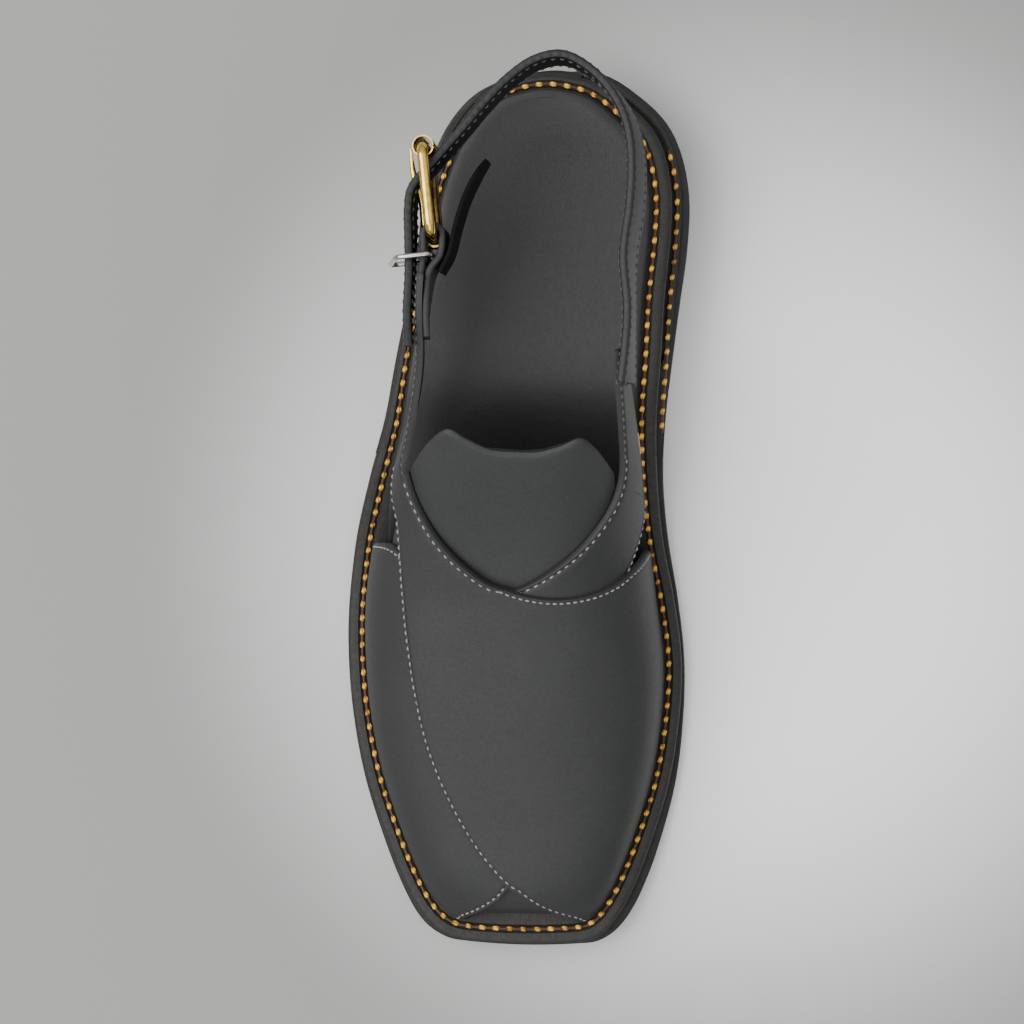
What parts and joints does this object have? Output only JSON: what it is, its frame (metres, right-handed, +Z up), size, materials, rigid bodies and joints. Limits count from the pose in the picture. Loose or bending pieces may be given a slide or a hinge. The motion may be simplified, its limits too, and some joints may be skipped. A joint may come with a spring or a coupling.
{
  "type": "crossed-strap chappal",
  "caption": "Right-foot leather sandal with crossed vamp straps, a horned tongue, a buckled heel strap, and a layered stitched sole on a low stacked heel.",
  "frame": {"origin": "under the middle of the outsole's outline, on the floor", "axes": "+Z up, +Y to the heel, -Y to the toe, -X to the outer side where the buckle is"},
  "size_m": [0.1156, 0.2904, 0.0929],
  "materials": {
    "outsole_rubber": "dark matt edge",
    "heel_rubber": "dark matt stack",
    "heel_ledge": "dyed edge with gold stitching",
    "ledge_leather": "grey, worn matt, with gold stitching",
    "insole_leather": "black satin",
    "strap_leather": "charcoal matt grain with pale edge stitching",
    "tongue_leather": "charcoal matt grain",
    "heel_strap_leather": "charcoal satin with pale edge stitching",
    "guard_leather": "black matt",
    "brass": "polished, slightly worn",
    "steel_wire": "bright wire"
  },
  "bodies": {
    "root": {"outsole": "outsole_rubber", "heel_block": "heel_rubber", "heel_wedge": "heel_ledge", "midsole": "ledge_leather", "insole": "insole_leather", "upper": "strap_leather", "tongue": "tongue_leather", "heel_strap": "heel_strap_leather", "buckle_guard": "guard_leather", "buckle_frame": "brass", "buckle_roller": "brass", "buckle_prong": "brass", "strap_keeper": "steel_wire"}
  },
  "joints": []
}
